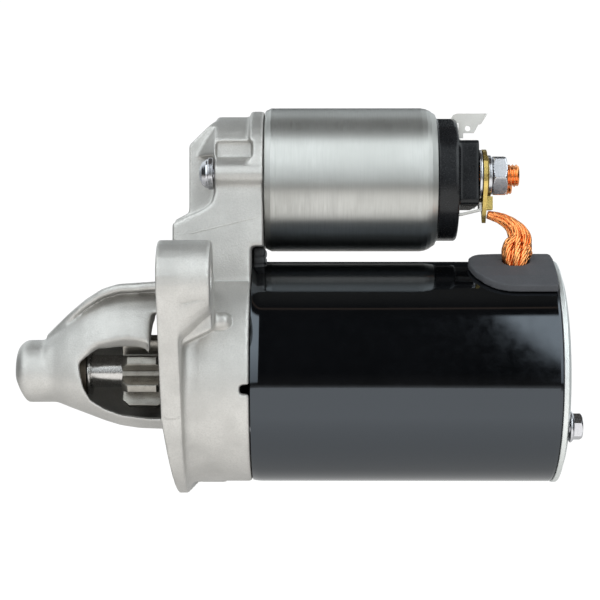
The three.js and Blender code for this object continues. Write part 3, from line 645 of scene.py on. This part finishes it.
def cut_with(made, tools):
    """Cuts tool objects from a piece and removes the tools."""
    for tool in tools:
        cut = made.modifiers.new("cut", "BOOLEAN")
        cut.operation = "DIFFERENCE"
        cut.solver = "EXACT"
        cut.object = tool
    bpy.context.view_layer.update()
    mesh = bpy.data.meshes.new_from_object(made.evaluated_get(bpy.context.evaluated_depsgraph_get()))
    made.modifiers.clear()
    made.data = mesh
    for tool in tools:
        bpy.data.objects.remove(tool)


def block(name, low, high):
    """A plain box to cut with."""
    sides = list(zip(low, high))
    corners = np.array([[x, y, z] for x in sides[0] for y in sides[1] for z in sides[2]])
    faces = [[0, 1, 3, 2], [4, 6, 7, 5], [0, 4, 5, 1], [2, 3, 7, 6], [0, 2, 6, 4], [1, 5, 7, 3]]
    mesh = bpy.data.meshes.new(name)
    mesh.from_pydata((corners * MM).tolist(), [], faces)
    made = bpy.data.objects.new(name, mesh)
    SCENE.collection.objects.link(made)
    return made


def yoke_shell():
    """The yoke, with a curved front edge and a notch for the rubber seal."""
    x0, x1 = YOKE_LOW[0], YOKE_HIGH[0]
    front = [(x0 + 3.6 * t, YOKE_R - 0.42 * (1 - t) ** 2) for t in np.linspace(0, 1, 9)]
    corners = [(x0, YOKE_R - 3), *front, (x1 - 0.8, YOKE_R), (x1, YOKE_R - 0.2), (x1, YOKE_R - 3)]
    shape = turned(corners, AXIS, 256, True, 0.1)
    made = add_piece("yoke_shell", shape, "root", "black_paint", ["yoke"])
    seal_low, seal_high = box_mm("lever_seal")
    notch = block("notch", (x0 - 1, seal_low[1] - 0.3, 25), (seal_high[0] + 0.3, seal_high[1] + 0.3, 45))
    cut_with(made, [notch])
    register(made, "root", "black_paint")


def rear_end():
    """The dished cover, the hub inside it, and the two through bolts."""
    low, high = box_mm("rear_cover")
    face, rim = high[0], (high[1] - low[1]) / 2
    back = YOKE_HIGH[0] + 0.3
    dish = turned([
        (back, 8.4), (back, rim), (back + 1.7, rim), (face - 0.9, rim - 1.3), (face, rim - 3.6),
        (face, 14.4), (face - 0.5, 13.6), (face - 0.5, 0.4),
    ], AXIS, 256, False, 0.5)
    add_piece("rear_dish", dish, "root", "zinc_plate", ["rear_cover"])
    hub = ring_shape(low[0], back - 0.05, 8.3, 11.5)
    add_piece("rear_hub", hub, "root", "zinc_plate")
    for side in ("near", "far"):
        node = f"through_bolt_{side}"
        bolt_low, bolt_high = box_mm(node)
        centre = centre_yz(node)
        shank = [(bolt_low[0], 0.3), (bolt_low[0], 2.3), (face + 0.6, 2.3), (face + 0.6, 0.3)]
        collar = [
            (face + 0.25, 0.3), (face + 0.25, 5.4), (face + 0.8, 5.4), (face + 1.5, 4.6), (face + 1.5, 0.3),
        ]
        parts = [
            turned(shank, centre, 32),
            turned(collar, centre, 64, False, 0.15),
            hexagon(face + 1.3, bolt_high[0], BOLT_FLATS, centre, BOLT_TURN, (0, 0.6)),
        ]
        add_piece(f"bolt_{side}", combine(parts), "root", "bright_zinc", [node])


# Solenoid


def solenoid_body():
    """The can, with a faint groove in front and a rounded rear end."""
    x0, x1 = CAN_LOW[0], CAN_HIGH[0]
    r = CAN_R
    rear = x1 - 0.4
    profile = [
        (x0, 10.9), (x0, r - 1.5), (x0 + 0.3, r - 0.9), (x0 + 2.2, r), (x0 + 3.1, r), (x0 + 3.4, r - 0.04),
        (x0 + 3.8, r - 0.04), (x0 + 4.1, r), (rear - 4.8, r), (rear - 3, r - 0.3), (rear - 1.6, r - 0.9),
        (rear - 0.6, r - 1.6), (x1, 23.2),
        (x1, 22.9), (rear - 1, 22.9), (rear - 1, 23.3), (x0 + 2.4, 23.3), (x0 + 2.4, 10.9),
    ]
    shape = turned(profile, SOL, 256, True, 0.3)
    add_piece("can_shell", shape, "root", "turned_zinc", ["solenoid_can"], 24)


def cap():
    """The moulded cap: the CAD piece with its edges rounded."""
    made, points, edges = fine_copy("cap_moulding", "terminal_cap", 0.3)
    for _ in range(5):
        points += 0.5 * (neighbours_mean(points, edges) - points)
    snap_round(points, SOL, CAP_RIM_R, (CAN_HIGH[0] + 0.4, 100.6), 0.25)
    set_points(made, points)
    register(made, "root", "bakelite", ["terminal_cap"], 180)


def washer(name, node, centre, round_by=0.2):
    low, high = box_mm(node)
    shape = ring_shape(low[0], high[0], 4.3, (high[1] - low[1]) / 2, centre, 96, round_by)
    add_piece(name, shape, "root", "bright_zinc", [node])


def terminals():
    """Two copper studs, each with a hexagon nut and a flat washer, and the lock washer of one."""
    for terminal in ("motor", "battery"):
        stud = f"{terminal}_stud"
        low, high = box_mm(stud)
        centre = centre_yz(stud)
        head_end, neck_end = low[0] + 2.5, THREAD_START + 0.1
        plain = [
            (low[0], 0.3), (low[0], 6.4), (head_end, 6.4), (head_end, STUD_CORE_R),
            (neck_end, STUD_CORE_R), (neck_end, 0.3),
        ]
        parts = [
            turned(plain, centre, 48),
            thread(THREAD_START, high[0], STUD_R, STUD_PITCH, centre),
        ]
        add_piece(f"{stud}_threaded", combine(parts), "root", "copper", [stud], 50)
        nut = f"{terminal}_nut"
        nut_low, nut_high = box_mm(nut)
        shape = hexagon(nut_low[0], nut_high[0], NUT_FLATS, centre, NUT_TURN)
        add_piece(f"{terminal}_hex_nut", shape, "root", "bright_zinc", [nut])
        washer(f"{terminal}_washer", f"{terminal}_flat_washer", centre)
    washer("lock_washer_ring", "motor_lock_washer", centre_yz("motor_lock_washer"), 0.3)


def solenoid_screws():
    """Dome-headed screws with a thin rim under the dome."""
    for side in ("near", "far"):
        node = f"solenoid_screw_{side}"
        low, high = box_mm(node)
        top, seat = low[0], low[0] + 4.9
        profile = [
            (top, 0.4), (top + 0.25, 2.4), (top + 1.1, 4), (top + 2.5, 5), (top + 3.2, 5.1),
            (top + 3.3, 5.6), (seat, 5.6), (seat, 2.5), (high[0], 2.5), (high[0], 0.4),
        ]
        shape = turned(profile, centre_yz(node), 96, False, 0.2)
        add_piece(f"dome_screw_{side}", shape, "root", "bright_zinc", [node])


# Copper lead: loosely twisted ropes that fan out and go in through the grommet. The route repeats the CAD
# lead's: each row is a middle point, and the half width and half thickness there.

LEAD = [
    (111.9, -11, 55.2, 2.6, 1.1), (113.7, -11, 54.8, 2.8, 1.5), (117.2, -11.2, 53.6, 3, 2),
    (120.4, -11.8, 51.2, 3.3, 2.7), (122.7, -12.8, 47.2, 3.8, 4.2), (122, -14.1, 43.2, 4.4, 5.5),
    (121.2, -15.2, 40.2, 4.2, 4.8), (120.9, -15, 37, 3.5, 3.8), (120.8, -14.2, 34.2, 3, 3),
]


def smooth_path(rows, count):
    """A smooth curve through rows of numbers, by Catmull-Rom interpolation."""
    rows = np.array(rows, float)
    padded = np.vstack([2 * rows[0] - rows[1], rows, 2 * rows[-1] - rows[-2]])
    out = []
    for s in np.linspace(0, len(rows) - 1 - 1e-9, count):
        i, t = int(s), s - int(s)
        p0, p1, p2, p3 = padded[i : i + 4]
        out.append(0.5 * (2 * p1 + (p2 - p0) * t + (2 * p0 - 5 * p1 + 4 * p2 - p3) * t**2
                          + (3 * p1 - p0 - 3 * p2 + p3) * t**3))
    return np.array(out)


def braid():
    """Two layers of ropes, each of five strands."""
    draw = random.Random(7)
    route = smooth_path(LEAD, 90)
    middle, half, thick = route[:, :3], route[:, 3], route[:, 4]
    along = np.gradient(middle, axis=0)
    along /= np.linalg.norm(along, axis=1)[:, None]
    side = np.array([0, 1.0, 0]) - along * along[:, 1:2]
    side /= np.linalg.norm(side, axis=1)[:, None]
    up = np.cross(along, side)
    t = np.linspace(0, 1, len(route))
    parts = []
    layers = [(0.74, 9, 1.05), (0.3, 4, 1.0)]  # share of the lead's size, ropes, thickness
    strands = 5
    for share, ropes, thickness in layers:
        for k in range(ropes):
            start = TAU * k / ropes + draw.uniform(-0.15, 0.15)
            wave = draw.uniform(0, TAU)
            angle = start + 0.9 * t + 0.22 * np.sin(1.6 * TAU * t + wave)
            reach = share * (1 + 0.06 * np.sin(2 * TAU * t + wave))
            centre = (middle + side * (half * reach * np.cos(angle))[:, None]
                      + up * (thick * reach * np.sin(angle))[:, None])
            size = thickness * np.clip((half + thick) / 8, 0.5, 1.15)
            for j in range(strands):
                twist = TAU * (j / strands + 2.2 * t) + wave
                offset = side * np.cos(twist)[:, None] + up * np.sin(twist)[:, None]
                parts.append(sweep(centre + offset * (0.62 * size)[:, None], 0.46 * size, 6))
    add_piece("braided_lead", combine(parts), "root", "copper", ["motor_lead"], 60)


def pad():
    """The curved rubber pad on the yoke, round in front."""
    made, points, edges = fine_copy("grommet_pad", "lead_grommet", 0.28)
    for _ in range(8):
        points += 0.5 * (neighbours_mean(points, edges) - points)
    set_points(made, points)
    register(made, "root", "grey_rubber", ["lead_grommet"], 180)


# Drive: pinion, shaft end, bush and washer


def pinion_gear():
    """The toothed pinion, chamfered in front, and its plain neck."""
    low, high = box_mm("pinion")
    teeth, tip, root, neck = 8, 13.2, 7.9, 8.4
    front, rear = low[0], -3.5
    turn = math.radians(26.5)

    def tooth(angle):
        """Radius of the tooth outline: round tips and roots, with bulging flanks."""
        share = abs(((angle - turn) * teeth / TAU + 0.5) % 1 - 0.5) * 2  # 0 at a tip, 1 in a root
        if share < 0.24:
            return tip
        if share > 0.78:
            return root
        fall = (share - 0.24) / 0.54
        return tip - (tip - root) * (0.5 - 0.5 * math.cos(math.pi * fall**0.82))

    stations = []
    for x in (front, front + 0.5, front + 1, front + 1.6, front + 2.2, -10, rear - 0.8, rear - 0.4, rear):
        edge = min(x - front, 2.2)
        limit = tip - 1.9 + edge * 0.9
        if rear - x < 0.8:
            limit = tip - 0.6 + (rear - x) * 0.75
        stations.append((x, lambda a, limit=limit: min(tooth(a), limit)))
    stations.append((rear, lambda a: neck))
    stations.append((high[0], lambda a: neck))
    shape = shaped(stations, AXIS, 320)
    add_piece("pinion_gear", shape, "pinion", "gear_steel", ["pinion"], 28)


def front_pieces():
    """The bush in the nose, the thrust ring beside it, and the shaft."""
    for node, piece, material in (
        ("nose_bush", "bush_sleeve", "bronze"),
        ("thrust_washer", "thrust_ring", "steel"),
    ):
        low, high = box_mm(node)
        shape = ring_shape(low[0], high[0], 6.15, (high[1] - low[1]) / 2, AXIS, 96, 0.25)
        add_piece(piece, shape, "root", material, [node])
    low, high = box_mm("armature_shaft")
    profile = [
        (low[0], 0.4), (low[0], 5), (low[0] + 0.8, 5.8), (14.2, 5.8), (14.6, 6.6), (44, 6.6), (44.2, 7),
        (120, 7), (120, 5.5), (high[0] - 0.6, 5.5), (high[0], 4.9), (high[0], 0.4),
    ]
    shape = turned(profile, AXIS, 96, False, 0.15)
    add_piece("shaft_turned", shape, "armature", "steel", ["armature_shaft"])


def frame_slot(node):
    """The material slot that the record gives a node."""
    return next(s["material_slot"] for s in frame["record"]["subparts"] if s["node"] == node)


def seal():
    """A rubber block with rounded upright edges, in five soft bulges one above the other."""
    low, high = box_mm("lever_seal")
    count, corner = 5, 0.8
    rows = []
    for i in range(count):
        z0 = low[2] + (high[2] - low[2]) * i / count
        z1 = low[2] + (high[2] - low[2]) * (i + 1) / count
        for t in np.linspace(0, 1, 7)[: 7 if i == count - 1 else 6]:
            z = z0 + (z1 - z0) * t
            bulge = 0.35 * math.sin(math.pi * t) ** 0.5 - 0.35
            rows.append((z, bulge))
    rings = []
    for z, bulge in rows:
        x0, x1 = low[0] + corner, high[0] + bulge - corner
        y0, y1 = low[1] - bulge + corner, high[1] + bulge - corner
        ring = []
        for cx, cy, a0 in ((x1, y1, 0), (x0, y1, 90), (x0, y0, 180), (x1, y0, 270)):
            for a in np.radians(np.linspace(a0, a0 + 90, 6)):
                ring.append((cx + corner * math.cos(a), cy + corner * math.sin(a), z))
        rings.append(ring)
    add_piece("seal_block", skin(rings), "root", "black_rubber", ["lever_seal"], 50)


def springs():
    """Coil springs in place of the CAD ones, each with its own mesh."""
    for node, wire, turns, joint, travel in (
        ("return_spring", 0.6, 7, "plunger_slide", 10),
        ("contact_spring", 0.45, 4, "contact_slide", 2.6),
    ):
        low, high = box_mm(node)
        r = (high[2] - low[2]) / 2 - wire
        coil = helix(r, low[0], high[0], turns, SOL, wire)
        made = add_piece(f"{node}_coil", coil, "root", "spring_steel", [node], 60)
        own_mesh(made)


def brush_springs():
    """A coil behind each brush, along the radius."""
    inner, outer, lift = 26.8, 31.5, 3
    for i in range(1, 5):
        node = f"brush_spring_{i}"
        low, high = box_mm(node)
        radial = np.array([0, *centre_yz(node)])
        radial /= np.linalg.norm(radial)
        across = np.cross(radial, (1, 0, 0))
        points, faces = helix(2.2, inner, outer, 4, AXIS, 0.4)
        middle = np.array([(low[0] + high[0]) / 2, 0, 0])
        points = middle + points @ np.array([radial, (1, 0, 0), across])
        made = add_piece(f"{node}_coil", (points, faces), "root", "spring_steel", [node], 60)
        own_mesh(made)


def carried_over():
    """The CAD nodes that stay get their own surface, rounded edges and smooth shading."""
    for name, node in NODES.items():
        if node.hide_render:
            continue
        slot = frame_slot(name)
        node.data.materials.clear()
        node.data.materials.append(MATERIAL[slot])
        node.data.polygons.foreach_set("use_smooth", np.ones(len(node.data.polygons), bool))
        bevel = node.modifiers.new("edges", "BEVEL")
        bevel.width = 0.12 * MM
        bevel.segments = 2
        bevel.limit_method = "ANGLE"
        bevel.angle_limit = math.radians(40)
        bevel.harden_normals = True


camera()
world()
floor()
cast_housing()
casting_seam()
yoke_shell()
rear_end()
solenoid_body()
cap()
terminals()
solenoid_screws()
braid()
pad()
pinion_gear()
front_pieces()
seal()
springs()
brush_springs()
carried_over()
